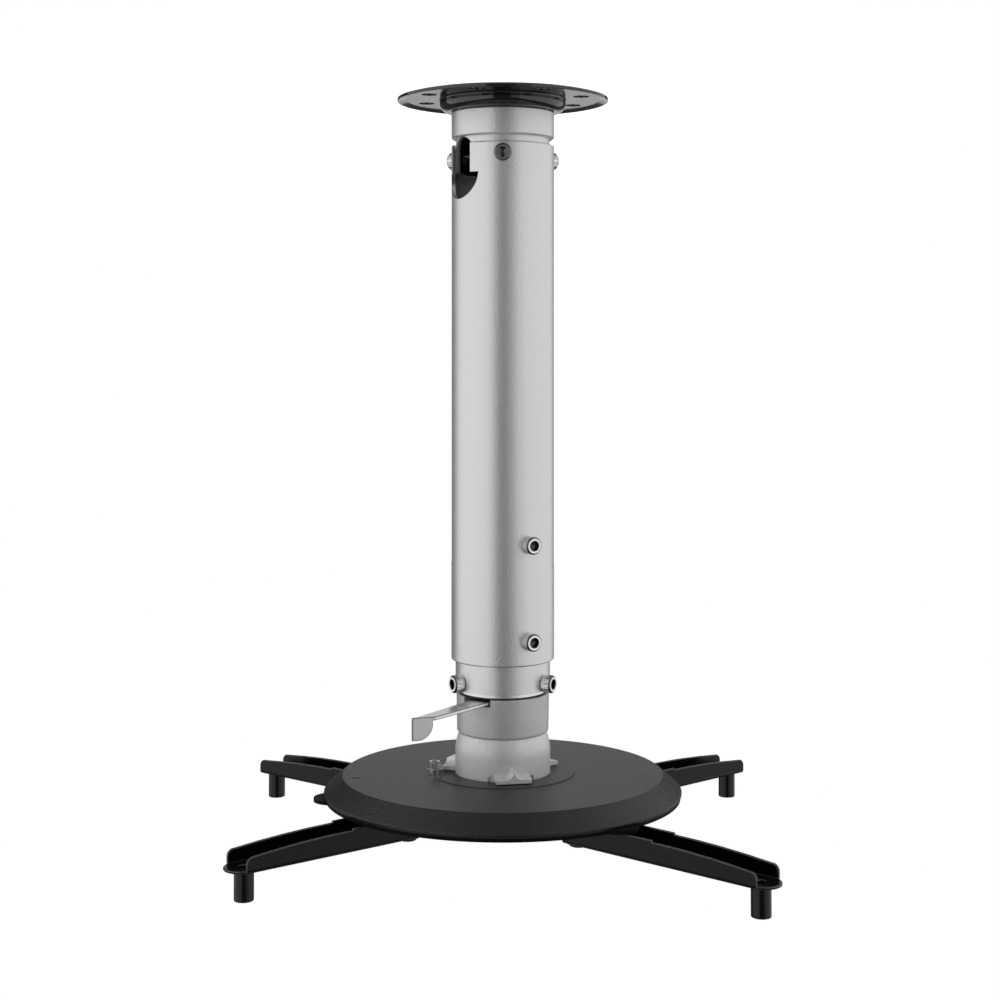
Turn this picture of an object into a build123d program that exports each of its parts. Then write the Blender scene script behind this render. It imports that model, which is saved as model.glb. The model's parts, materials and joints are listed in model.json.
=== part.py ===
# Ceiling mount for a projector: a screwed-on ceiling plate, a telescopic column,
# a lever-clamped ball joint, and a covered carrier plate with four adjustable arms.
#
# Frame: origin at the centre of the ceiling plate's top face, +Z up, so the mount
# hangs below it. An azimuth is counted in degrees from -Y towards +X.
from build123d import *
import os
from math import cos, radians, sin, sqrt

os.makedirs("parts", exist_ok=True)

# Ceiling plate: pressed steel, with a drawn boss in the middle and a rim turned down
plate_diameter = 121.0
plate_sheet = 1.8
rim_width = 5.0
rim_drop = 1.4
boss_diameter = 72.4
boss_depth = 9.1
boss_corner = 5.0
cable_hole_diameter = 40.0
ceiling_hole_diameter = 9.0
ceiling_hole_circle = 93.0
ceiling_hole_count = 8
ceiling_hole_turn = 5.0

# Top socket: cast cup with a spigot that enters the outer tube
socket_height = 15.5
socket_bore = 50.0
spigot_diameter = 53.8
spigot_reach = 15.7
tube_gap = 3.8
edge_chamfer = 0.8
neck_tube_wall = 2.0

# Telescopic column
outer_tube_diameter = 59.0
outer_tube_wall = 2.3
outer_tube_length = 294.0
inner_tube_wall = 2.0
inner_tube_headroom = 19.0
inner_tube_show = 16.1
telescope_clearance = 0.1

# Keyhole in the outer tube, and the arched window of the same width in the socket
keyhole_azimuth = -57.5
keyhole_width = 19.0
keyhole_neck_length = 16.9
keyhole_eye_radius = 14.6

# Socket cap screws, one size on the column and one on the cover
m6_radius = 3.0
m6_head_radius = 5.0
m6_head_height = 6.0
m6_socket_flats = 5.0
m4_radius = 2.0
m4_head_radius = 3.5
m4_head_height = 4.0
m4_socket_flats = 3.0
screw_clearance = 0.1
washer_thickness = 1.6
m6_washer_radius = 7.0
m4_washer_radius = 3.8
m4_washer_thickness = 2.6
top_screw_drop = 7.0
height_screw_azimuth = 30.0
height_screw_rise = 14.0
height_screw_spacing = 54.0
hub_screw_rise = 4.2
hub_screw_length = 10.0

# Swivel hub and friction washer under the inner tube
hub_neck = 2.1
hub_height = 19.5
hub_wall = 4.5
hub_floor = 10.5
hub_seat_clearance = 0.1
friction_washer_thickness = 0.7
friction_washer_bore = 17.2
friction_washer_overhang = 0.3

# Knuckle: cast body with a spherical seat below and the lever's slot on top
knuckle_radius = 26.6
knuckle_draft = 0.4
knuckle_height = 22.3
knuckle_corner = 1.1
lever_pocket_radius = 16.5
lever_pocket_depth = 3.2
lever_slot_depth = 3.9
lever_clearance = 0.8
lever_swing = 11.0

# Lever: flat strip with a hexagonal eye and a finger tab folded down at its tip
lever_azimuth = -33.5
lever_thickness = 2.0
lever_drop = 0.9
lever_length = 81.5
lever_back_offset = 4.1
lever_root_offset = 9.4
lever_tip_offset = 4.0
lever_tip_cut = 10.0
lever_eye_radius = 12.5
tab_width = 11.6
tab_height = 12.4
tab_round = 8.6

# Nuts
m8_radius = 4.0
m8_nut_flats = 13.0
lever_nut_height = 8.0
lock_nut_height = 6.5
m6_nut_flats = 10.0
m6_nut_height = 5.0

# Ball joint: base ring with a spherical dome, held between the seat and the bolt's head
ball_radius = 27.3
dome_wall = 4.0
dome_opening_angle = 33.0
ball_clearance = 0.3
cup_thickness = 2.7
cup_opening_angle = 30.0
cup_edge_angle = 60.0
bolt_head_height = 8.0
running_gap = 0.1
head_tilt = 1.44

# Base ring below the dome, with three ribbed ears
ring_drop = 12.2
skirt_wall = 3.0
ear_azimuth = 11.0
ear_count = 3
ear_reach = 34.0
ear_width = 20.0
ear_thickness = 2.0
ear_lift = 0.5
ear_slope = 1.2
ear_peak_at_wall = 9.3
ear_peak_at_tip = 5.4
ear_peak_half_width = 5.4
notch_width = 2.6
notch_height = 2.8
base_boss_radius = 4.5
base_boss_circle = 43.0
base_boss_height = 11.0

# Cover: moulded dish over the carrier plate
cover_radius = 102.3
cover_wall = 2.2
cover_hub_radius = 41.0
cover_hub_rise = 0.4
cover_crease_radius = 91.8
cover_bevel_drop = 9.0
cover_rim_height = 1.7
cover_rim_draft = 0.3
cover_hole_clearance = 0.2
cover_screw_azimuth = -82.0
cover_screw_circle = 39.3
slit_azimuth = -79.4
slit_circle = 84.3
slit_length = 4.2
slit_width = 1.5

# Carrier plate: round steel sheet with three rounded ears
carrier_sheet = 2.0
carrier_radius = 101.5
carrier_bore_radius = 17.0
carrier_ear_azimuth = 38.9
carrier_ear_radius = 11.2
carrier_ear_circle = 96.9

# Arms: folded channels, flanges up, each with a slot for its pivot screw
arm_width = 21.2
arm_sheet = 1.5
arm_bend_radius = 2.0
arm_height = 12.8
arm_gap = 0.1
arm_step_height = 1.0
arm_step_distance = 59.7
arm_mid_drop = 0.8
arm_tip_drop = 4.1
arm_flange_overrun = 4.4
arm_corner_radius = 3.8
arm_slot_inner = 120.0
arm_slot_travel = 30.0
arm_end_margin = 6.0
arm_inner_length = arm_slot_inner + arm_end_margin
pivot_circle_radius = 65.0
pivot_head_radius = 5.2
pivot_head_height = 1.8
pivot_head_round = 1.2
pivot_washer_thickness = 0.9

# How each arm is set: azimuth of its pivot, azimuth that it points to, slide out from
# the pivot's stop at the inner end of the slot
arm_settings = {
    "front_left": (-53.8, -51.2, 17.1),
    "front_right": (39.4, 47.9, 2.6),
    "back_left": (-124.9, -129.4, 1.5),
    "back_right": (121.9, 131.5, 1.9),
}

# Posts: round spacers under the arms' ends, which carry the projector
post_radius = 5.15
post_length = 16.0
post_bore_radius = 2.6
post_edge = 0.5

# Levels down the column
boss_floor = -boss_depth
socket_bottom = boss_floor - socket_height
tube_top = socket_bottom - tube_gap
spigot_bottom = tube_top - spigot_reach
tube_bottom = tube_top - outer_tube_length
inner_bottom = tube_bottom - inner_tube_show
hub_bottom = inner_bottom - hub_neck
washer_bottom = hub_bottom - friction_washer_thickness
knuckle_top = washer_bottom - running_gap
knuckle_bottom = knuckle_top - knuckle_height
seat_radius = ball_radius + ball_clearance
seat_rim_radius = knuckle_radius - knuckle_draft - knuckle_corner
ball_centre = knuckle_bottom - sqrt(seat_radius**2 - seat_rim_radius**2)
ring_bottom = ball_centre - ring_drop
cover_top = ring_bottom - cover_hub_rise
cover_bottom = cover_top - cover_bevel_drop - cover_rim_height
carrier_bottom = cover_bottom - carrier_sheet
arm_top = carrier_bottom - arm_gap
arm_bottom = arm_top - arm_height
post_bottom = arm_bottom - post_length

# Radii shared by pieces that fit each other
outer_radius = outer_tube_diameter / 2
outer_bore = outer_radius - outer_tube_wall
inner_radius = outer_bore - telescope_clearance
inner_bore = inner_radius - inner_tube_wall
spigot_radius = spigot_diameter / 2
socket_bore_radius = socket_bore / 2
neck_radius = socket_bore_radius - hub_seat_clearance
hub_radius = inner_bore - hub_seat_clearance
dome_bore = ball_radius - dome_wall
skirt_radius = dome_bore + skirt_wall
cup_radius = dome_bore - ball_clearance
bolt_head_radius = cup_radius - cup_thickness - ball_clearance
pivot_hole_radius = m6_radius + screw_clearance

TOP = (Align.CENTER, Align.CENTER, Align.MAX)
FOOT = (Align.CENTER, Align.CENTER, Align.MIN)


def around(radius, azimuth):
    """Plan position at a radius and an azimuth."""
    return radius * sin(radians(azimuth)), -radius * cos(radians(azimuth))


def facing(azimuth, level, radius=0.0):
    """Plane whose normal points outwards at an azimuth, with its own Y axis up."""
    x, y = around(radius, azimuth)
    turn = radians(azimuth)
    return Plane(origin=(x, y, level), x_dir=(cos(turn), sin(turn), 0), z_dir=(sin(turn), -cos(turn), 0))


def pointing(azimuth):
    """Turn that lays a piece drawn along +X out along an azimuth."""
    return Rot(0, 0, azimuth - 90)


def rod(radius, top, bottom, x=0.0, y=0.0):
    """Upright cylinder between two levels."""
    return Pos(x, y, top) * Cylinder(radius, top - bottom, align=TOP)


def pipe(outer, inner, top, bottom):
    """Upright tube between two levels."""
    return rod(outer, top, bottom) - rod(inner, top, bottom)


def rounded(face, corners):
    """Face with the corner nearest to each (radius, level) point rounded."""
    for radius, level, size in corners:
        corner = face.vertices().sort_by_distance((radius, level, 0))[0]
        face = fillet(corner, size)
    return face


def hexagon(flats, height):
    """Hexagonal prism standing on its own origin."""
    return extrude(RegularPolygon(flats / 2, 6, major_radius=False), height)


def cap_screw(shank_radius, length, head_radius, head_height, flats):
    """Socket cap screw with its shank along -Z and its head seated on Z = 0."""
    head = Cylinder(head_radius, head_height, align=FOOT)
    head = chamfer(head.edges().sort_by(Axis.Z)[-1], head_height * 0.1)
    recess = Pos(0, 0, head_height * 0.45) * hexagon(flats, head_height)
    return head + Cylinder(shank_radius, length, align=TOP) - recess


def m6_screw(length):
    return cap_screw(m6_radius, length, m6_head_radius, m6_head_height, m6_socket_flats)


def nut(flats, height, bore_radius):
    """Hexagonal nut standing on its own origin."""
    return hexagon(flats, height) - Cylinder(bore_radius, height, align=FOOT)


def washer(outer, inner, thickness):
    """Flat washer lying on its own origin."""
    return Cylinder(outer, thickness, align=FOOT) - Cylinder(inner, thickness, align=FOOT)


def ceiling_hole_places():
    """Plan positions of the ceiling plate's screw holes."""
    step = 360 / ceiling_hole_count
    return [around(ceiling_hole_circle / 2, (k + 0.5) * step + ceiling_hole_turn) for k in range(ceiling_hole_count)]


def ceiling_plate():
    """Pressed plate: flat flange, drawn boss with a cable hole, rim turned down."""
    plate_radius = plate_diameter / 2
    boss_radius = boss_diameter / 2
    cable_radius = cable_hole_diameter / 2
    flat_radius = plate_radius - rim_width
    sheet = plate_sheet
    section = make_face(Polyline(
        (cable_radius, boss_floor), (boss_radius, boss_floor), (boss_radius, -sheet), (flat_radius, -sheet),
        (plate_radius, -rim_drop - sheet), (plate_radius, -rim_drop), (flat_radius, 0),
        (boss_radius - sheet, 0), (boss_radius - sheet, boss_floor + sheet), (cable_radius, boss_floor + sheet),
        close=True))
    section = rounded(section, [
        (boss_radius, boss_floor, boss_corner), (boss_radius - sheet, boss_floor + sheet, boss_corner - sheet),
        (boss_radius, -sheet, sheet / 2), (boss_radius - sheet, 0, sheet * 1.5),
        (plate_radius, -rim_drop - sheet, sheet / 4), (plate_radius, -rim_drop, sheet / 4)])
    plate = revolve(Plane.XZ * section, Axis.Z, 360)
    for x, y in ceiling_hole_places():
        plate -= rod(ceiling_hole_diameter / 2, sheet, -2 * sheet, x, y)
    for azimuth in socket_screw_azimuths():
        x, y = around(socket_screw_circle(), azimuth)
        plate -= rod(m4_radius + screw_clearance, 0, boss_floor, x, y)
    return plate


def socket_screw_azimuths():
    return [60, 180, 300]


def socket_screw_circle():
    """Radius of the socket's screws, in the middle of the cup's wall."""
    return (outer_radius + socket_bore_radius) / 2


def socket_screw_length():
    return socket_height * 0.6


def window(depth):
    """Cutter for the arched cable window below the cup, open at the lower end."""
    half = keyhole_width / 2
    arch = Pos(0, -half) * Circle(half) + Pos(0, -half) * Rectangle(keyhole_width, depth, align=(Align.CENTER, Align.MAX))
    return extrude(facing(keyhole_azimuth, socket_bottom) * arch, outer_radius)


def keyhole():
    """Cutter for the keyhole: a neck from the tube's top edge into a half-round eye."""
    neck = Rectangle(keyhole_width, keyhole_neck_length, align=(Align.CENTER, Align.MAX))
    eye = Circle(keyhole_eye_radius) & Rectangle(3 * keyhole_eye_radius, 2 * keyhole_eye_radius, align=(Align.CENTER, Align.MAX))
    outline = neck + Pos(0, -keyhole_neck_length) * eye
    return extrude(facing(keyhole_azimuth, tube_top) * outline, 2 * outer_radius)


def radial_screws(screw, radius, places):
    """Group of like screws, each (azimuth, level), seated on a tube of that radius."""
    return Compound([facing(azimuth, level, radius) * screw for azimuth, level in places])


def radial_holes(hole_radius, depth_to, places):
    """Cutters for radial screws, from outside a tube in to a radius."""
    length = 2 * outer_radius - depth_to
    return [facing(azimuth, level, depth_to) * Cylinder(hole_radius, length, align=FOOT) for azimuth, level in places]


def top_screw_places():
    return [(azimuth, tube_top - top_screw_drop) for azimuth in (0, 120, 240)]


def top_screw_length():
    """Reach of a top screw, through the tube, the spigot and the neck tube."""
    return outer_radius - neck_radius + 2 * neck_tube_wall


def height_screw_places():
    lower = tube_bottom + height_screw_rise
    return [(height_screw_azimuth, lower), (height_screw_azimuth, lower + height_screw_spacing)]


def hub_screw_places():
    return [(azimuth, inner_bottom + hub_screw_rise) for azimuth in (-60, 60, 180)]


def top_socket():
    """Cast cup under the plate's boss, with the spigot below it."""
    cup = pipe(outer_radius, socket_bore_radius, boss_floor, socket_bottom)
    rims = cup.edges().filter_by(GeomType.CIRCLE).filter_by(lambda edge: edge.radius > socket_bore_radius + 1)
    cup = chamfer(rims, edge_chamfer)
    spigot = pipe(spigot_radius, socket_bore_radius, socket_bottom, spigot_bottom)
    body = cup + spigot - window(tube_gap + spigot_reach)
    for cutter in radial_holes(m6_radius, 0, top_screw_places()):
        body -= cutter
    for azimuth in socket_screw_azimuths():
        x, y = around(socket_screw_circle(), azimuth)
        body -= rod(m4_radius, boss_floor, boss_floor - socket_screw_length(), x, y)
    return body


def neck_tube():
    """Black tube welded under the boss, which lines the socket."""
    body = pipe(neck_radius, neck_radius - neck_tube_wall, boss_floor, spigot_bottom)
    body -= window(tube_gap + spigot_reach)
    for cutter in radial_holes(m6_radius, 0, top_screw_places()):
        body -= cutter
    return body


def socket_screws():
    """Screws from the boss's hollow down into the cup's wall."""
    screw = cap_screw(m4_radius, plate_sheet + socket_screw_length(), m4_head_radius, m4_head_height, m4_socket_flats)
    places = [around(socket_screw_circle(), azimuth) for azimuth in socket_screw_azimuths()]
    return Compound([Pos(x, y, boss_floor + plate_sheet) * screw for x, y in places])


def outer_tube():
    """Outer tube of the column, with the keyhole and tapped holes."""
    tube = pipe(outer_radius, outer_bore, tube_top, tube_bottom)
    ends = tube.edges().filter_by(GeomType.CIRCLE).filter_by(lambda edge: edge.radius > outer_bore + 1)
    tube = fillet(ends, edge_chamfer)
    tube -= keyhole()
    for cutter in radial_holes(m6_radius, 0, top_screw_places() + height_screw_places()):
        tube -= cutter
    return tube


def inner_tube():
    """Inner tube, which slides out of the outer tube."""
    tube = pipe(inner_radius, inner_bore, spigot_bottom - inner_tube_headroom, inner_bottom)
    for cutter in radial_holes(m6_radius + screw_clearance, 0, hub_screw_places()):
        tube -= cutter
    return tube


def swivel_hub():
    """Cast plug in the inner tube's end, hollow above and recessed for the lever's nut."""
    top = hub_bottom + hub_height
    floor = hub_bottom + hub_floor
    hub = rod(hub_radius, top, hub_bottom) - rod(hub_radius - hub_wall, top, floor)
    hub -= rod(m8_radius + screw_clearance, floor, hub_bottom)
    hub -= rod(lever_nut_corner() + 1, hub_bottom + lever_nut_top_clear(), hub_bottom)
    for cutter in radial_holes(m6_radius, hub_screw_tip(), hub_screw_places()):
        hub -= cutter
    return hub


def lever_nut_corner():
    return m8_nut_flats / sqrt(3)


def lever_nut_top_clear():
    """Depth of the hub's recess, which the lever's nut reaches up into."""
    nut_foot = knuckle_top - lever_pocket_depth + running_gap
    return nut_foot + lever_nut_height + ball_clearance - hub_bottom


def hub_screw_tip():
    return inner_radius - hub_screw_length


def friction_washer():
    """Plastic ring between the hub and the knuckle."""
    ring = washer(hub_radius + friction_washer_overhang, friction_washer_bore, friction_washer_thickness)
    return Pos(0, 0, washer_bottom) * ring


def hub_washer():
    """Steel washer under the lock nut, on the hub's floor."""
    return Pos(0, 0, hub_bottom + hub_floor) * washer(2 * m8_radius, m8_radius + screw_clearance, washer_thickness)


def knuckle():
    """Cast knuckle: drafted outside, lever pocket and slot on top, spherical seat below."""
    low_radius = knuckle_radius - knuckle_draft
    section = make_face(Polyline(
        (0, knuckle_top), (knuckle_radius, knuckle_top), (low_radius, knuckle_bottom), (0, knuckle_bottom), close=True))
    section = rounded(section, [(low_radius, knuckle_bottom, knuckle_corner), (knuckle_radius, knuckle_top, edge_chamfer / 2)])
    body = revolve(Plane.XZ * section, Axis.Z, 360)
    body -= Pos(0, 0, ball_centre) * Sphere(seat_radius)
    body -= rod(lever_pocket_radius, knuckle_top, knuckle_top - lever_pocket_depth)
    swept = lever_strip(lever_clearance) + Rot(0, 0, -lever_swing) * lever_strip(lever_clearance)
    body -= Pos(0, 0, knuckle_top) * pointing(lever_azimuth) * extrude(swept, -lever_slot_depth)
    body -= rod(m8_radius + screw_clearance, knuckle_top, knuckle_bottom)
    return body


def lever_level():
    """Level of the lever's underside."""
    return knuckle_top - lever_drop - lever_thickness


def lever_tip():
    """Ends of the lever's tip edge, far and near, drawn along +X."""
    return (lever_length, -lever_back_offset), (lever_length - lever_tip_cut, lever_tip_offset)


def lever_strip(margin=0.0):
    """Lever's tapered outline, drawn along +X and grown sideways by a margin."""
    (far_x, far_y), (near_x, near_y) = lever_tip()
    return make_face(Polyline(
        (0, -lever_back_offset - margin), (far_x, far_y - margin), (near_x, near_y + margin),
        (0, lever_root_offset + margin), close=True))


def lever():
    """Flat lever from a hexagonal eye out through the slot, with its finger tab."""
    foot = lever_level()
    tip_far, tip_near = lever_tip()
    strip = lever_strip()
    strip = fillet(strip.vertices().sort_by_distance((*tip_near, 0))[0], lever_thickness / 2)
    plan = strip + Circle(lever_eye_radius)
    body = Pos(0, 0, foot) * extrude(plan, lever_thickness)
    body -= Pos(0, 0, foot) * hexagon(m8_nut_flats, lever_thickness)

    fold = Vector(tip_near[0] - tip_far[0], tip_near[1] - tip_far[1], 0).normalized()
    outline = Rectangle(tab_width, tab_height, align=(Align.MIN, Align.MAX))
    outline = fillet(outline.vertices().sort_by_distance((tab_width, -tab_height, 0))[0], tab_round)
    outline = fillet(outline.vertices().sort_by_distance((0, 0, 0))[0], lever_thickness / 2)
    tip = Plane(origin=(*tip_far, foot + lever_thickness), x_dir=fold, z_dir=fold.cross(Vector(0, 0, 1)))
    return pointing(lever_azimuth) * (body + extrude(tip * outline, -lever_thickness))


def lever_nut():
    """Clamp nut, which the lever's eye turns."""
    foot = knuckle_top - lever_pocket_depth + running_gap
    return Pos(0, 0, foot) * pointing(lever_azimuth) * nut(m8_nut_flats, lever_nut_height, m8_radius + screw_clearance)


def ball_bolt():
    """Clamp bolt with a spherical head under the dome."""
    head_foot = ball_centre + bolt_head_radius - bolt_head_height
    head = Pos(0, 0, ball_centre) * Sphere(bolt_head_radius) & rod(bolt_head_radius, 0, head_foot)
    shank_top = hub_bottom + hub_floor + washer_thickness + running_gap + lock_nut_height + 2 * running_gap
    shank = rod(m8_radius, shank_top, ball_centre + bolt_head_radius - 1)
    return head + shank


def lock_nut():
    """Lock nut, which holds the hub, the knuckle and the bolt together."""
    foot = hub_bottom + hub_floor + washer_thickness + running_gap
    return Pos(0, 0, foot) * nut(m8_nut_flats, lock_nut_height, m8_radius)


def polar_edge(radius, angle):
    """Point (radius, level) on a sphere about the ball's centre, at an angle from straight up."""
    return radius * sin(radians(angle)), ball_centre + radius * cos(radians(angle))


def spherical_band(outer, inner, first_angle, last_angle):
    """Part of a spherical shell between two cones of angles from straight up."""
    middle = (first_angle + last_angle) / 2
    section = make_face([
        ThreePointArc(polar_edge(outer, first_angle), polar_edge(outer, middle), polar_edge(outer, last_angle)),
        Line(polar_edge(outer, last_angle), polar_edge(inner, last_angle)),
        ThreePointArc(polar_edge(inner, last_angle), polar_edge(inner, middle), polar_edge(inner, first_angle)),
        Line(polar_edge(inner, first_angle), polar_edge(outer, first_angle))])
    return revolve(Plane.XZ * section, Axis.Z, 360)


def pressure_cup():
    """Spherical washer between the bolt's head and the inside of the dome."""
    return spherical_band(cup_radius, cup_radius - cup_thickness, cup_opening_angle, cup_edge_angle)


def ear_section(distance, flange_top, peak):
    """Ear's outline across its width: flat flange with a rib that has concave flanks."""
    half = ear_width / 2
    foot = ring_bottom + ear_lift
    waist = ear_peak_half_width
    crest = waist / 8
    low = (waist + crest) / 2.6
    lift = flange_top + (peak - flange_top) * 0.3
    outline = [
        Line((-half, foot), (half, foot)), Line((half, foot), (half, flange_top)),
        Line((half, flange_top), (waist, flange_top)),
        ThreePointArc((waist, flange_top), (low, lift), (crest, peak)),
        Line((crest, peak), (-crest, peak)),
        ThreePointArc((-crest, peak), (-low, lift), (-waist, flange_top)),
        Line((-waist, flange_top), (-half, flange_top)), Line((-half, flange_top), (-half, foot))]
    return facing(0, 0, distance) * make_face(outline)


def base_ring():
    """Cast base: spherical dome, plain wall, skirt down to the carrier plate, three ears."""
    body = spherical_band(ball_radius, dome_bore, dome_opening_angle, 90)
    body += pipe(ball_radius, dome_bore, ball_centre, ring_bottom)
    body += pipe(skirt_radius, dome_bore, ring_bottom, cover_bottom)
    flange_foot = ring_bottom + ear_lift + ear_thickness
    wall = ball_radius - dome_wall / 2
    ear = loft([
        ear_section(wall, flange_foot + ear_slope, ring_bottom + ear_peak_at_wall),
        ear_section(ear_reach, flange_foot, ring_bottom + ear_peak_at_tip)], ruled=True)
    notch = Pos(0, notch_height - notch_width / 2) * Circle(notch_width / 2)
    notch += Rectangle(notch_width, notch_height - notch_width / 2, align=(Align.CENTER, Align.MIN))
    for k in range(ear_count):
        azimuth = ear_azimuth + k * 360 / ear_count
        body += Rot(0, 0, azimuth) * ear
        x, y = around(base_boss_circle / 2, azimuth)
        boss = rod(base_boss_radius, cover_bottom + base_boss_height, cover_bottom, x, y)
        body += boss & rod(skirt_radius, cover_bottom + base_boss_height, cover_bottom)
        body -= rod(m4_radius, cover_bottom + base_screw_length(), cover_bottom, x, y)
        for side in (-1, 1):
            offset = side * (ear_width / 2 + notch_width * 0.65)
            cutter = extrude(facing(azimuth, ring_bottom) * Pos(offset, 0) * notch, ball_radius + 1)
            body -= cutter - rod(skirt_radius, ring_bottom + notch_height, ring_bottom)
    return body


def base_screw_length():
    return base_boss_height * 0.8


def base_screws():
    """Countersunk screws from under the carrier plate up into the base's bosses."""
    head = Cone(m4_radius * 2, m4_radius, carrier_sheet, align=FOOT)
    recess = hexagon(m4_socket_flats * 0.8, carrier_sheet * 0.6)
    shank = Cylinder(m4_radius, carrier_sheet + base_screw_length(), align=FOOT)
    screw = Pos(0, 0, carrier_bottom) * (head + shank - recess)
    places = [around(base_boss_circle / 2, ear_azimuth + k * 360 / ear_count) for k in range(ear_count)]
    return Compound([Pos(x, y) * screw for x, y in places])


def cover():
    """Moulded cover: raised hub, flat top, bevelled edge, short rim and a screw boss."""
    hole = skirt_radius + cover_hole_clearance
    hub_edge = cover_hub_radius + cover_hub_rise * 2
    rim_top = cover_top - cover_bevel_drop
    foot_radius = cover_radius - cover_rim_draft
    wall = cover_wall
    section = make_face(Polyline(
        (hole, ring_bottom), (cover_hub_radius, ring_bottom), (hub_edge, cover_top), (cover_crease_radius, cover_top),
        (cover_radius, rim_top), (foot_radius, cover_bottom), (foot_radius - wall, cover_bottom),
        (cover_radius - wall, rim_top - wall / 3), (cover_crease_radius - wall / 3, cover_top - wall),
        (hole, cover_top - wall), close=True))
    section = rounded(section, [(cover_radius, rim_top, wall / 3)])
    body = revolve(Plane.XZ * section, Axis.Z, 360)
    x, y = around(cover_screw_circle, cover_screw_azimuth)
    body += rod(2 * m4_radius, cover_top - wall, cover_bottom, x, y)
    body -= rod(m4_radius + screw_clearance, ring_bottom, cover_bottom, x, y)
    x, y = around(slit_circle, slit_azimuth)
    slit = Pos(x, y, cover_top - wall) * pointing(slit_azimuth) * Box(slit_length, slit_width, 3 * wall)
    return body - slit


def cover_screw():
    """Socket cap screw through the cover's boss into the carrier plate."""
    x, y = around(cover_screw_circle, cover_screw_azimuth)
    length = ring_bottom + m4_washer_thickness - carrier_bottom
    screw = cap_screw(m4_radius, length, m4_head_radius, m4_head_height, m4_socket_flats)
    return Pos(x, y, ring_bottom + m4_washer_thickness) * screw


def cover_washer():
    x, y = around(cover_screw_circle, cover_screw_azimuth)
    return Pos(x, y, ring_bottom) * washer(m4_washer_radius, m4_radius + screw_clearance, m4_washer_thickness)


def carrier_plate():
    """Round steel plate with three ears, pivot holes and countersunk holes."""
    outline = Circle(carrier_radius)
    for k in range(ear_count):
        azimuth = carrier_ear_azimuth + k * 360 / ear_count
        outline += Pos(*around(carrier_ear_circle, azimuth)) * Circle(carrier_ear_radius)
    outline -= Circle(carrier_bore_radius)
    outline -= Pos(*around(cover_screw_circle, cover_screw_azimuth)) * Circle(m4_radius)
    for pivot_azimuth, _, _ in arm_settings.values():
        outline -= Pos(*around(pivot_circle_radius, pivot_azimuth)) * Circle(pivot_hole_radius)
    plate = Pos(0, 0, carrier_bottom) * extrude(outline, carrier_sheet)
    sink = Pos(0, 0, carrier_bottom) * Cone(m4_radius * 2, m4_radius, carrier_sheet, align=FOOT)
    for k in range(ear_count):
        x, y = around(base_boss_circle / 2, ear_azimuth + k * 360 / ear_count)
        plate -= Pos(x, y) * sink
    return plate


def arm_nuts():
    """Weld nuts on the carrier plate for the arms' pivot screws."""
    places = [around(pivot_circle_radius, pivot_azimuth) for pivot_azimuth, _, _ in arm_settings.values()]
    return Compound([Pos(x, y, cover_bottom) * nut(m6_nut_flats, m6_nut_height, pivot_hole_radius) for x, y in places])


def arm_flange_side():
    """Flange's outline from the side, drawn with the post at X = 0 and the arm's tip at +X."""
    step_foot = arm_top - arm_step_height
    step = -arm_step_distance
    tip_top = arm_top - arm_tip_drop
    outline = make_face([
        Line((-arm_inner_length, arm_bottom), (arm_flange_overrun, arm_bottom)),
        Line((arm_flange_overrun, arm_bottom), (arm_flange_overrun, tip_top)),
        Line((arm_flange_overrun, tip_top), (0, tip_top)),
        ThreePointArc((0, tip_top), (step / 2, step_foot - arm_mid_drop), (step, step_foot)),
        Line((step, step_foot), (step - arm_step_height / 2, arm_top)),
        Line((step - arm_step_height / 2, arm_top), (-arm_inner_length, arm_top)),
        Line((-arm_inner_length, arm_top), (-arm_inner_length, arm_bottom))])
    return fillet(outline.vertices().sort_by_distance((arm_flange_overrun, tip_top, 0))[0], arm_corner_radius)


def arm():
    """Folded channel, drawn with its post at the origin and its tip towards +X."""
    half = arm_width / 2
    channel = make_face(Polyline(
        (-half, arm_top), (-half, arm_bottom), (half, arm_bottom), (half, arm_top), (half - arm_sheet, arm_top),
        (half - arm_sheet, arm_bottom + arm_sheet), (-half + arm_sheet, arm_bottom + arm_sheet), (-half + arm_sheet, arm_top),
        close=True))
    channel = rounded(channel, [
        (-half, arm_bottom, arm_bend_radius), (half, arm_bottom, arm_bend_radius),
        (half - arm_sheet, arm_bottom + arm_sheet, arm_bend_radius / 4),
        (-half + arm_sheet, arm_bottom + arm_sheet, arm_bend_radius / 4)])
    length = arm_inner_length + arm_flange_overrun
    body = Pos(-arm_inner_length, 0, 0) * extrude(Plane.YZ * channel, length)
    body &= extrude(Plane.XZ * arm_flange_side(), half, both=True)
    plan = Pos(half - arm_inner_length, 0) * Circle(half)
    plan += Pos(half - arm_inner_length, 0) * Rectangle(2 * arm_inner_length, arm_width, align=(Align.MIN, Align.CENTER))
    body &= Pos(0, 0, arm_bottom) * extrude(plan, arm_height)
    tip = Circle(half) - Pos(arm_flange_overrun, 0) * Rectangle(arm_width, arm_width, align=(Align.MAX, Align.CENTER))
    body += Pos(0, 0, arm_bottom) * extrude(tip, arm_sheet)
    slot = Pos(arm_slot_travel / 2 - arm_slot_inner, 0) * SlotCenterToCenter(arm_slot_travel, 2 * pivot_hole_radius)
    body -= Pos(0, 0, arm_bottom) * extrude(slot + Circle(post_bore_radius), arm_sheet)
    return body


def post():
    """Round spacer under an arm's end, with a through bore for the projector's screw."""
    section = make_face(Polyline(
        (post_bore_radius, arm_bottom), (post_radius, arm_bottom), (post_radius, post_bottom),
        (post_bore_radius, post_bottom), close=True))
    section = rounded(section, [(post_radius, post_bottom, post_edge)])
    return revolve(Plane.XZ * section, Axis.Z, 360)


def pivot_seat():
    """Level of the pivot screw's head, under its washer."""
    return arm_bottom - running_gap - pivot_washer_thickness


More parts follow.
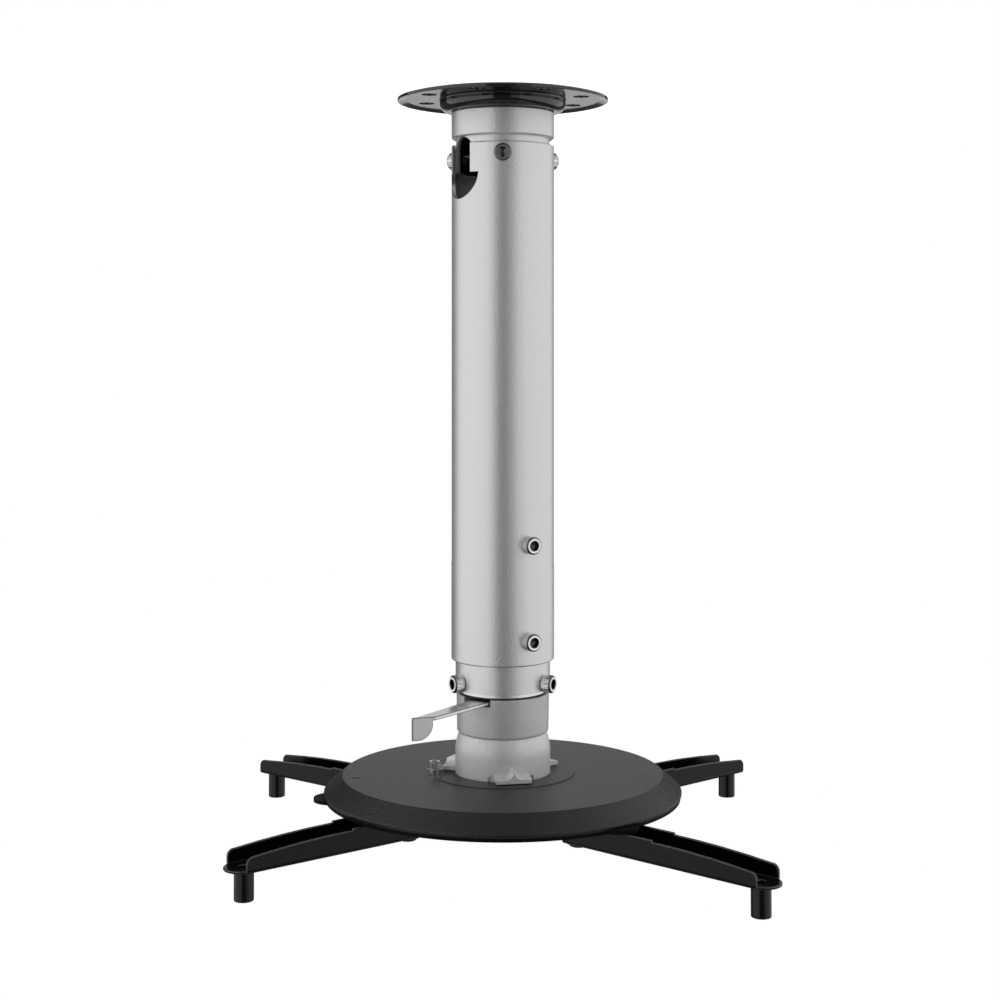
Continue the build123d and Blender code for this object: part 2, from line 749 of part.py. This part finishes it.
def pivot_screw():
    """Pivot screw from below, with a low rounded head under the washer."""
    head = Cylinder(pivot_head_radius, pivot_head_height, align=TOP)
    head = fillet(head.edges().sort_by(Axis.Z)[0], pivot_head_round)
    recess = Pos(0, 0, -pivot_head_height) * hexagon(m6_socket_flats * 0.8, pivot_head_height * 0.7)
    shank = Cylinder(m6_radius, cover_bottom + m6_nut_height - pivot_seat(), align=FOOT)
    return Pos(0, 0, pivot_seat()) * (head + shank - recess)


def pivot_washer():
    ring = washer(m6_washer_radius, m6_radius + screw_clearance, pivot_washer_thickness)
    return Pos(0, 0, pivot_seat()) * ring


def hung(shape):
    """Head piece, turned about the ball's centre to how the joint is set."""
    return Pos(0, 0, ball_centre) * Rot(-head_tilt, 0, 0) * Pos(0, 0, -ball_centre) * shape


def write(name, shape):
    export_step(shape, f"parts/{name}.step")


write("ceiling_plate", ceiling_plate())
write("neck_tube", neck_tube())
write("top_socket", top_socket())
write("socket_screws", socket_screws())
write("outer_tube", outer_tube())
write("top_screws", radial_screws(m6_screw(top_screw_length()), outer_radius, top_screw_places()))
write("height_screws", radial_screws(m6_screw(outer_tube_wall - running_gap / 2), outer_radius, height_screw_places()))
write("inner_tube", inner_tube())
write("swivel_hub", swivel_hub())
write("hub_screws", radial_screws(m6_screw(hub_screw_length), inner_radius, hub_screw_places()))
write("hub_washer", hub_washer())
write("friction_washer", friction_washer())
write("knuckle", knuckle())
write("ball_bolt", ball_bolt())
write("lock_nut", lock_nut())
write("lever", lever())
write("lever_nut", lever_nut())
write("pressure_cup", hung(pressure_cup()))
write("base_ring", hung(base_ring()))
write("base_screws", hung(base_screws()))
write("cover", hung(cover()))
write("cover_screw", hung(cover_screw()))
write("cover_washer", hung(cover_washer()))
write("carrier_plate", hung(carrier_plate()))
write("arm_nuts", hung(arm_nuts()))

for place, (pivot_azimuth, arm_azimuth, slide_out) in arm_settings.items():
    set_out = Pos(*around(pivot_circle_radius, pivot_azimuth)) * pointing(arm_azimuth)
    at_post = set_out * Pos(arm_slot_inner - slide_out, 0)
    write(f"pivot_screw_{place}", hung(set_out * pivot_screw()))
    write(f"pivot_washer_{place}", hung(set_out * pivot_washer()))
    write(f"arm_{place}", hung(at_post * arm()))
    write(f"post_{place}", hung(at_post * post()))
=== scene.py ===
import json
import math

import bmesh
import bpy
from mathutils import Matrix, Vector


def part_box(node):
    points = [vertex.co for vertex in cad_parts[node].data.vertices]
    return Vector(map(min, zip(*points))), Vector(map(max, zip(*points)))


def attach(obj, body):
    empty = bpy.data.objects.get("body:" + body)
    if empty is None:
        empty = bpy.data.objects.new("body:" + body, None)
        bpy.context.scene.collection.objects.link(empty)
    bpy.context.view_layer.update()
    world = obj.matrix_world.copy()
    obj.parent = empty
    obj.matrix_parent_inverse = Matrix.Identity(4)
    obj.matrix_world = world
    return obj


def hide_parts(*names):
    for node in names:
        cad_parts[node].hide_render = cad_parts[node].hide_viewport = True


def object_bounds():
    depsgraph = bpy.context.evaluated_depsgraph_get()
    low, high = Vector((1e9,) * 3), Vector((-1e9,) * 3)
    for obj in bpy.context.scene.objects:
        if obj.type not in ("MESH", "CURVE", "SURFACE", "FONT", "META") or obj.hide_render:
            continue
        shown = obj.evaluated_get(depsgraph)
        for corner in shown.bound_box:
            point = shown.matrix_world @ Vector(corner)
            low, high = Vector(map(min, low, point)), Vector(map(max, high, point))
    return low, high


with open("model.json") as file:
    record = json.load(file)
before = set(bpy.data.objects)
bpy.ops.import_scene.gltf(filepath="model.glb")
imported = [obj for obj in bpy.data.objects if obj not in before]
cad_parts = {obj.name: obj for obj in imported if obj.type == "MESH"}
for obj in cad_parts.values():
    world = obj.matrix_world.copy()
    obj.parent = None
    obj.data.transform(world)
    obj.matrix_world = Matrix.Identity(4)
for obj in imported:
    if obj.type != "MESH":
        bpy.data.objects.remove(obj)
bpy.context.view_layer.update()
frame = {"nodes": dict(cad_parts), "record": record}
nodes = frame["nodes"]


# Ceiling plate and neck tube: pressed steel with a gloss black powder coat.
# The plate screws to the ceiling, and the tube is welded under its boss.
MM = 0.001


def colour(text):
    """Linear RGBA of a six-digit sRGB hex colour."""
    channels = [int(text[i:i + 2], 16) / 255 for i in (0, 2, 4)]
    return (*[c / 12.92 if c <= 0.04045 else ((c + 0.055) / 1.055) ** 2.4 for c in channels], 1.0)


def add(tree, kind, **values):
    """New shader node, with its inputs set by name and linked where a value is a socket."""
    node = tree.nodes.new(kind)
    for name, value in values.items():
        socket = node.inputs[name.replace("_", " ")]
        if isinstance(value, bpy.types.NodeSocket):
            tree.links.new(value, socket)
        else:
            socket.default_value = value
    return node


def material(name, tint, metallic, roughness, specular=0.5):
    """New material named for its finish, with one Principled shader."""
    made = bpy.data.materials.new(name)
    made.use_nodes = True
    shader = made.node_tree.nodes["Principled BSDF"]
    shader.inputs["Base Color"].default_value = colour(tint)
    shader.inputs["Metallic"].default_value = metallic
    shader.inputs["Roughness"].default_value = roughness
    shader.inputs["Specular IOR Level"].default_value = specular
    return made, made.node_tree, shader


def noise(tree, size_mm, detail=2.0):
    """Noise over the object's own coordinates, with grains of a real size."""
    place = add(tree, "ShaderNodeTexCoord").outputs["Object"]
    return add(tree, "ShaderNodeTexNoise", Vector=place, Scale=1 / (size_mm * MM), Detail=detail)


def grain(tree, shader, size_mm, depth_mm, edge_mm=0.3):
    """Raised grain of a real size and depth, over edges broken by a real radius."""
    height = noise(tree, size_mm).outputs["Fac"]
    edge = add(tree, "ShaderNodeBevel", Radius=edge_mm * MM).outputs["Normal"]
    bump = add(tree, "ShaderNodeBump", Distance=depth_mm * MM, Height=height, Normal=edge)
    tree.links.new(bump.outputs["Normal"], shader.inputs["Normal"])


def paint(made, *names):
    """Gives CAD nodes one material."""
    for name in names:
        nodes[name].data.materials.clear()
        nodes[name].data.materials.append(made)


# thick and glossy: sharp reflections that an orange peel of 1.6 mm unsettles
black_coat, tree, shader = material(
    "gloss black powder coat", "060607", metallic=0.0, roughness=0.13, specular=0.85)
grain(tree, shader, size_mm=1.6, depth_mm=0.004, edge_mm=0.5)
paint(black_coat, "ceiling_plate", "neck_tube")


# Top socket, base ring, knuckle and hub: zinc castings, shot-blasted and painted silver.
# The socket is screwed under the plate, the hub to the inner tube, and the knuckle hangs
# from the hub and carries the base on its round seat.
def mottle(tree, shader, size_mm, dark, light):
    """Base colour that wanders between two close tints in grains of a real size."""
    blend = add(tree, "ShaderNodeMix", Factor=noise(tree, size_mm, detail=3.0).outputs["Fac"])
    blend.data_type = "RGBA"
    blend.inputs[6].default_value = colour(dark)
    blend.inputs[7].default_value = colour(light)
    tree.links.new(blend.outputs[2], shader.inputs["Base Color"])


# blasted skin: soft light over fine pits, drawn at 1.1 mm, coarser than the real ones, so
# that they show
casting, tree, shader = material("shot-blasted silver casting", "dededf", metallic=0.55, roughness=0.5)
grain(tree, shader, size_mm=1.1, depth_mm=0.13, edge_mm=0.45)
mottle(tree, shader, size_mm=1.2, dark="cececf", light="eeeeef")
paint(casting, "base_ring")

# the same skin on the knuckle, its tints darkened below the base's as painted shade
knuckle_painted_shade, tree, shader = material("silver casting with painted shade", "c8c8c9", metallic=0.5, roughness=0.45)
grain(tree, shader, size_mm=1.1, depth_mm=0.13, edge_mm=0.45)
mottle(tree, shader, size_mm=1.2, dark="b8b8b9", light="d4d4d5")
paint(knuckle_painted_shade, "knuckle")

# smoother paint: metallic, with clearer light and shade round the socket
socket_paint, tree, shader = material("silver paint on a casting", "dededf", metallic=0.8, roughness=0.4)
grain(tree, shader, size_mm=1.1, depth_mm=0.14)
paint(socket_paint, "top_socket")

# the brightest of the silvers: the socket's silver paint tinted lighter as painted light, so that the
# hub shows as a narrow light ring under the inner tube
hub_paint_painted_light, tree, shader = material(
    "silver paint on the hub, with painted light", "f4f4f5", metallic=1.0, roughness=0.37)
grain(tree, shader, size_mm=1.1, depth_mm=0.14)
paint(hub_paint_painted_light, "swivel_hub")


# Outer and inner tube: steel tubes with metallic silver paint of a fine hammered grain.
# The outer tube is screwed to the socket, and the inner one slides in it.

# metal flakes in the paint give long soft highlights; the grain is drawn at 1.2 mm, coarser
# than the real one, so that it shows
tube_paint, tree, shader = material("metallic silver paint", "dedede", metallic=0.8, roughness=0.36)
grain(tree, shader, size_mm=1.2, depth_mm=0.13, edge_mm=0.25)
paint(tube_paint, "outer_tube", "inner_tube")


# Socket cap screws on the column: bright zinc-plated steel with knurled heads, size M6.
# Three hold the tube to the socket, two clamp the inner tube, and three hold the hub.
HEAD = 5.0 * MM
SHANK = 3.0 * MM
# the head is 6 mm high: a chamfer under it, the knurled side, and a rounded rim, whose
# steps are given by their rise and by how far they lie inside the head's radius
FOOT = 0.3 * MM
KNURLED = 4.8 * MM
RIM = ((0.2 * MM, 0.2 * MM), (0.4 * MM, 0.5 * MM), (0.3 * MM, 0.9 * MM))
KNURLS = 36
KNURL_DEPTH = 0.13 * MM
# socket for a hexagon key, 5 mm across flats, with a chamfered mouth and a drilled floor
FLAT = 2.5 * MM
MOUTH = 3.0 * MM
MOUTH_DEPTH = 0.4 * MM
SOCKET_DEPTH = 3.0 * MM
DRILL_DEPTH = 0.9 * MM
DRILL_TIP = 0.3 * MM


def step(shape, cap, rise, radius):
    """Extrudes a round cap by a rise, to a new radius about the axis."""
    grown = bmesh.ops.extrude_face_region(shape, geom=[cap])["geom"]
    bmesh.ops.delete(shape, geom=[cap], context="FACES_ONLY")
    face = next(item for item in grown if isinstance(item, bmesh.types.BMFace))
    ratio = radius / face.verts[0].co.xy.length
    bmesh.ops.scale(shape, verts=face.verts, vec=(ratio, ratio, 1))
    bmesh.ops.translate(shape, verts=face.verts, vec=(0, 0, rise))
    return face


def cap_screw(scale, length):
    """Knurled socket cap screw, head seated on Z = 0, slot 1 on its rim and socket for their painted
    shade; the scale is 1 for M6.
    """
    shape = bmesh.new()
    start = bmesh.ops.create_circle(shape, cap_ends=True, radius=SHANK, segments=2 * KNURLS)
    bmesh.ops.translate(shape, verts=start["verts"], vec=(0, 0, -length / scale))
    cap = step(shape, shape.faces[:][0], length / scale, SHANK)
    cap = step(shape, cap, 0, HEAD - FOOT)
    cap = step(shape, cap, FOOT, HEAD)
    sides = list(cap.verts)
    cap = step(shape, cap, KNURLED, HEAD)
    sides += list(cap.verts)
    cap.material_index = 1
    for rise, inset in RIM:
        cap = step(shape, cap, rise, HEAD - inset)
    cap.material_index = 0
    cap = step(shape, cap, 0, MOUTH)
    cap.material_index = 1
    cap = step(shape, cap, -MOUTH_DEPTH, FLAT)
    # the round mouth is drawn out to a hexagon
    for vertex in cap.verts:
        angle = math.atan2(vertex.co.y, vertex.co.x) % math.radians(60) - math.radians(30)
        vertex.co.xy *= 1 / math.cos(angle)
    cap = step(shape, cap, -SOCKET_DEPTH, cap.verts[0].co.xy.length)
    step(shape, cap, -DRILL_DEPTH, DRILL_TIP)
    bmesh.ops.holes_fill(shape, edges=shape.edges)
    # every other point round the side lies in a knurl's groove
    for vertex in sides:
        turn = math.atan2(vertex.co.y, vertex.co.x) * KNURLS / math.pi
        if round(turn) % 2:
            vertex.co.xy *= 1 - KNURL_DEPTH / HEAD
    bmesh.ops.recalc_face_normals(shape, faces=shape.faces)
    bmesh.ops.scale(shape, verts=shape.verts, vec=(scale, scale, scale))
    return shape


def gathered(name, shape, places):
    """One mesh object from copies of a shape, each put at its place."""
    one = bpy.data.meshes.new(name)
    shape.to_mesh(one)
    shape.free()
    whole = bmesh.new()
    for place in places:
        copy = one.copy()
        copy.transform(place)
        whole.from_mesh(copy)
        bpy.data.meshes.remove(copy)
    whole.to_mesh(one)
    whole.free()
    made = bpy.data.objects.new(name, one)
    bpy.context.scene.collection.objects.link(made)
    return made


def facing(azimuth, level, radius):
    """Place on a tube, with Z pointing outwards at an azimuth from -Y towards +X."""
    turn = math.radians(azimuth)
    side = Vector((math.cos(turn), math.sin(turn), 0))
    out = Vector((math.sin(turn), -math.cos(turn), 0))
    place = Matrix((side, Vector((0, 0, 1)), out)).transposed().to_4x4()
    place.translation = out * radius + Vector((0, 0, level))
    return place


def middle(node):
    """Middle of a CAD node's box."""
    low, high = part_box(node)
    return (low + high) / 2


# bright and mirror-like, with a faint wave of the plating, 1.5 mm long
zinc, tree, shader = material("bright zinc plate", "e6e6e8", metallic=1.0, roughness=0.12)
grain(tree, shader, size_mm=1.5, depth_mm=0.01, edge_mm=0.15)
# duller on the rim and in the socket, and darker there as painted shade in the recess and painted dark
# reflection on the rim, so that rims and sockets stand out
zinc_painted_shade, tree, shader = material("zinc plate with painted shade", "636365", metallic=1.0, roughness=0.3)
grain(tree, shader, size_mm=1.0, depth_mm=0.02, edge_mm=0.15)

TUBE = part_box("outer_tube")[1].x
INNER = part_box("inner_tube")[1].x
height_low, height_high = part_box("height_screws")
top_level = middle("top_screws").z
hub_level = middle("hub_screws").z
# for each set: the body that it moves with, the length under the head, and the places
SCREWS = {
    "top_screws": ("ceiling", 8.6 * MM, [facing(azimuth, top_level, TUBE) for azimuth in (0, 120, 240)]),
    "height_screws": ("ceiling", 2.2 * MM, [
        facing(30, level, TUBE) for level in (height_low.z + HEAD, height_high.z - HEAD)]),
    "hub_screws": ("column", 10 * MM, [facing(azimuth, hub_level, INNER) for azimuth in (60, 180, 300)]),
}
for node, (body, length, places) in SCREWS.items():
    screws = gathered(f"knurled_{node}", cap_screw(1.0, length), places)
    screws.data.materials.append(zinc)
    screws.data.materials.append(zinc_painted_shade)
    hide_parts(node)
    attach(screws, body)


# Hidden fasteners: plain zinc-plated steel, in the boss's hollow, the hub and the head.
# They show only when the mount is seen from above or below.

# grey and satin, with a faint unevenness of 0.8 mm
dull, tree, shader = material("plain zinc plate", "8e8e90", metallic=1.0, roughness=0.35)
grain(tree, shader, size_mm=0.8, depth_mm=0.01, edge_mm=0.15)
paint(dull, "socket_screws", "hub_washer", "lock_nut", "lever_nut", "ball_bolt", "pressure_cup")
paint(dull, "base_screws", "arm_nuts")


# Clamp lever: stamped steel strip with a satin chrome finish, on the clamp nut.
# Its tip is folded down into a finger tab.
LEVER_EDGE = 0.4 * MM
SHARP = math.radians(30)


def softened(node, body, width):
    """Copy of a CAD node, in its place, with its sharp outer edges rounded in slot 1."""
    shape = bmesh.new()
    shape.from_mesh(nodes[node].data)
    bmesh.ops.remove_doubles(shape, verts=shape.verts, dist=0.001 * MM)
    bmesh.ops.dissolve_limit(shape, angle_limit=math.radians(1), verts=shape.verts, edges=shape.edges)
    sharp = [edge for edge in shape.edges if edge.is_convex and edge.calc_face_angle(0) > SHARP]
    rounded = bmesh.ops.bevel(
        shape, geom=sharp, affect="EDGES", offset=width, segments=2, profile=0.5, material=-1)
    for face in rounded["faces"]:
        face.material_index = 1
    made = gathered(f"{node}_coated", shape, [Matrix()])
    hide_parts(node)
    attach(made, body)
    return made


# blurred reflections along the strip, over a slow wave of the stamping, 6 mm long
chrome, tree, shader = material("satin chrome", "e2e2e4", metallic=1.0, roughness=0.3)
grain(tree, shader, size_mm=6.0, depth_mm=0.04)
# a darker line round the strip, on its rounded edges: a painted dark reflection
lever_edge_painted_reflection, tree, shader = material("chrome with a painted dark edge", "77777a", metallic=1.0, roughness=0.3)
grain(tree, shader, size_mm=1.5, depth_mm=0.02)
lever = softened("lever", "clamp_lever", LEVER_EDGE)
lever.data.materials.append(chrome)
lever.data.materials.append(lever_edge_painted_reflection)


# Friction washer: black nylon ring between the hub and the knuckle.
# It lets the knuckle turn under the column without wear.

# dull black, from the mould
nylon, tree, shader = material("black nylon", "141415", metallic=0.0, roughness=0.45)
grain(tree, shader, size_mm=0.6, depth_mm=0.01)
paint(nylon, "friction_washer")


# Cover: moulded black plastic with a fine leather-like texture, over the carrier plate.
# One M4 screw with a bright washer holds it, beside the base, and leans with the head.
M4_SCALE = 0.7
M4_RADIUS = 3.5 * MM
M4_HEIGHT = 4.0 * MM
M4_LENGTH = 12.0 * MM

# dark grey and matt, with a soft sheen that the texture breaks up; it is drawn at 1.6 mm,
# coarser than the real one, so that it shows
plastic, tree, shader = material("textured black plastic", "131314", metallic=0.0, roughness=0.42)
grain(tree, shader, size_mm=1.6, depth_mm=0.32, edge_mm=1.0)
paint(plastic, "cover")
paint(zinc, "cover_washer")

# the head's lean, from the feet of the left posts
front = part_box("post_front_left")[0]
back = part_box("post_back_left")[0]
FALL = (back.z - front.z) / (back.y - front.y)
lean = Matrix.Rotation(math.atan(FALL), 4, "X")
low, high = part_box("cover_screw")
seat = Matrix.Translation(((low.x + high.x) / 2, high.y - M4_RADIUS, high.z - M4_HEIGHT)) @ lean
screw = gathered("knurled_cover_screw", cap_screw(M4_SCALE, M4_LENGTH), [seat])
screw.data.materials.append(zinc)
screw.data.materials.append(zinc_painted_shade)
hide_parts("cover_screw")
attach(screw, "head")


# Carrier plate and arms: steel with a black powder coat, the arms folded to channels and
# clamped under the plate. Each arm has a round post under its end, for the projector.
ARMS = ("front_left", "front_right", "back_left", "back_right")
ARM_EDGE = 0.5 * MM

# near black, with a faint sheen over an orange peel of 1.4 mm
arm_coat, tree, shader = material(
    "black powder coat", "050505", metallic=0.0, roughness=0.22, specular=0.2)
grain(tree, shader, size_mm=1.4, depth_mm=0.015)
# the rounded edges show as thin light lines, painted lighter in the coat as a painted highlight
edge_painted_highlight, tree, shader = material(
    "black powder coat with a painted edge highlight", "262627", metallic=0.0, roughness=0.25, specular=0.9)
grain(tree, shader, size_mm=1.4, depth_mm=0.01)
# smooth over turned steel: narrow streaks of light down a post
post_coat, tree, shader = material(
    "black powder coat on a turned post", "040404", metallic=0.0, roughness=0.2, specular=0.33)
grain(tree, shader, size_mm=1.4, depth_mm=0.004)
# dull: next to no reflection under the cover
plate_coat, tree, shader = material(
    "dull black powder coat", "060606", metallic=0.0, roughness=0.6, specular=0.1)
grain(tree, shader, size_mm=1.4, depth_mm=0.01)

paint(plate_coat, "carrier_plate")
for place in ARMS:
    arm = softened(f"arm_{place}", f"arm_{place}", ARM_EDGE)
    arm.data.materials.append(arm_coat)
    arm.data.materials.append(edge_painted_highlight)
    paint(post_coat, f"post_{place}", f"pivot_screw_{place}", f"pivot_washer_{place}")


# Floor, card and background: white, and bright to the camera alone. The floor lies below
# the reach of the lowered mount, and is clear from below. The card stands far behind, and
# shows in the gloss of the plate.
FLOOR_HALF = 0.45
FLOOR_GAP = 100 * MM
CARD_HALF = 0.7
CARD_AWAY = 2.5
CARD_LEVEL = 0.1


def square(name, half, place):
    """Flat square for the stage, put at its place."""
    shape = bmesh.new()
    bmesh.ops.create_grid(shape, x_segments=1, y_segments=1, size=half)
    return gathered(name, shape, [place])


def white_to_camera(tree, otherwise):
    """Strength of 1 to the camera, and of another level in reflections and as light."""
    sight = add(tree, "ShaderNodeLightPath").outputs["Is Camera Ray"]
    return add(tree, "ShaderNodeMapRange", Value=sight, To_Min=otherwise, To_Max=1.0).outputs["Result"]


joints = frame["record"]["behaviour"]["joints"]
travel = next(joint["range_m"][1] for joint in joints if joint["name"] == "height")
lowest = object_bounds()[0][2]
floor = square("floor", FLOOR_HALF, Matrix.Translation((0, 0, lowest - travel - FLOOR_GAP)))
sweep, tree, shader = material("white sweep", "c4c4c4", metallic=0.0, roughness=0.9)
shader.inputs["Emission Color"].default_value = colour("ffffff")
tree.links.new(white_to_camera(tree, 0.0), shader.inputs["Emission Strength"])
behind = add(tree, "ShaderNodeNewGeometry").outputs["Backfacing"]
clear = add(tree, "ShaderNodeBsdfTransparent").outputs["BSDF"]
sheet = add(tree, "ShaderNodeMixShader", Fac=behind)
tree.links.new(shader.outputs["BSDF"], sheet.inputs[1])
tree.links.new(clear, sheet.inputs[2])
tree.links.new(sheet.outputs["Shader"], tree.nodes["Material Output"].inputs["Surface"])
floor.data.materials.append(sweep)

upright = Matrix.Rotation(math.radians(90), 4, "X")
card = square("back_card", CARD_HALF, Matrix.Translation((0, CARD_AWAY, CARD_LEVEL)) @ upright)
glow, tree, shader = material("white card", "ffffff", metallic=0.0, roughness=0.9)
shader.inputs["Emission Color"].default_value = colour("ffffff")
tree.links.new(white_to_camera(tree, 0.39), shader.inputs["Emission Strength"])
card.data.materials.append(glow)

world = bpy.data.worlds.new("studio")
bpy.context.scene.world = world
world.use_nodes = True
tree = world.node_tree
backdrop = tree.nodes["Background"]
backdrop.inputs["Color"].default_value = colour("ffffff")
tree.links.new(white_to_camera(tree, 0.1), backdrop.inputs["Strength"])


# Lamps: a wide tall soft box on each side, with a dark gap at the camera, and one overhead.
# The gap makes the dark line down the front of the column.
def lamp(name, azimuth, distance, height, aim, width, tall, brightness):
    """Area lamp placed by azimuth, that faces a level of the column; brightness is its surface's."""
    turn = math.radians(azimuth)
    data = bpy.data.lights.new(name, "AREA")
    data.shape = "RECTANGLE"
    data.size = width
    data.size_y = tall
    data.energy = brightness * math.pi * width * tall
    made = bpy.data.objects.new(name, data)
    bpy.context.scene.collection.objects.link(made)
    made.location = (distance * math.sin(turn), -distance * math.cos(turn), height)
    made.rotation_euler = (Vector((0, 0, aim)) - made.location).to_track_quat("-Z", "Y").to_euler()


lamp("left soft box", -70, distance=1.0, height=0.35, aim=0.35, width=2.6, tall=2.4, brightness=0.89)
lamp("right soft box", 88, distance=1.0, height=0.35, aim=0.35, width=3.0, tall=2.4, brightness=0.8)
lamp("right fill", 24, distance=1.8, height=0.35, aim=0.35, width=0.6, tall=2.4, brightness=0.35)
lamp("top soft box", 180, distance=0.5, height=1.6, aim=-0.2, width=1.6, tall=1.2, brightness=0.8)


# Camera: level, in front of the column, with the view moved down to hold the whole mount.
# Its place and lens are the ones fitted to the photo's ellipses.
camera = bpy.data.objects.new("camera", bpy.data.cameras.new("camera"))
bpy.context.scene.collection.objects.link(camera)
camera.location = (0, -0.958, -0.1397)
camera.rotation_euler = (math.radians(90), 0, 0)
camera.data.lens = 60
camera.data.sensor_width = 36
camera.data.shift_x = -0.00275
camera.data.shift_y = -0.16
camera.data.clip_start = 0.01
bpy.context.scene.camera = camera
bpy.context.scene.view_settings.view_transform = "Standard"
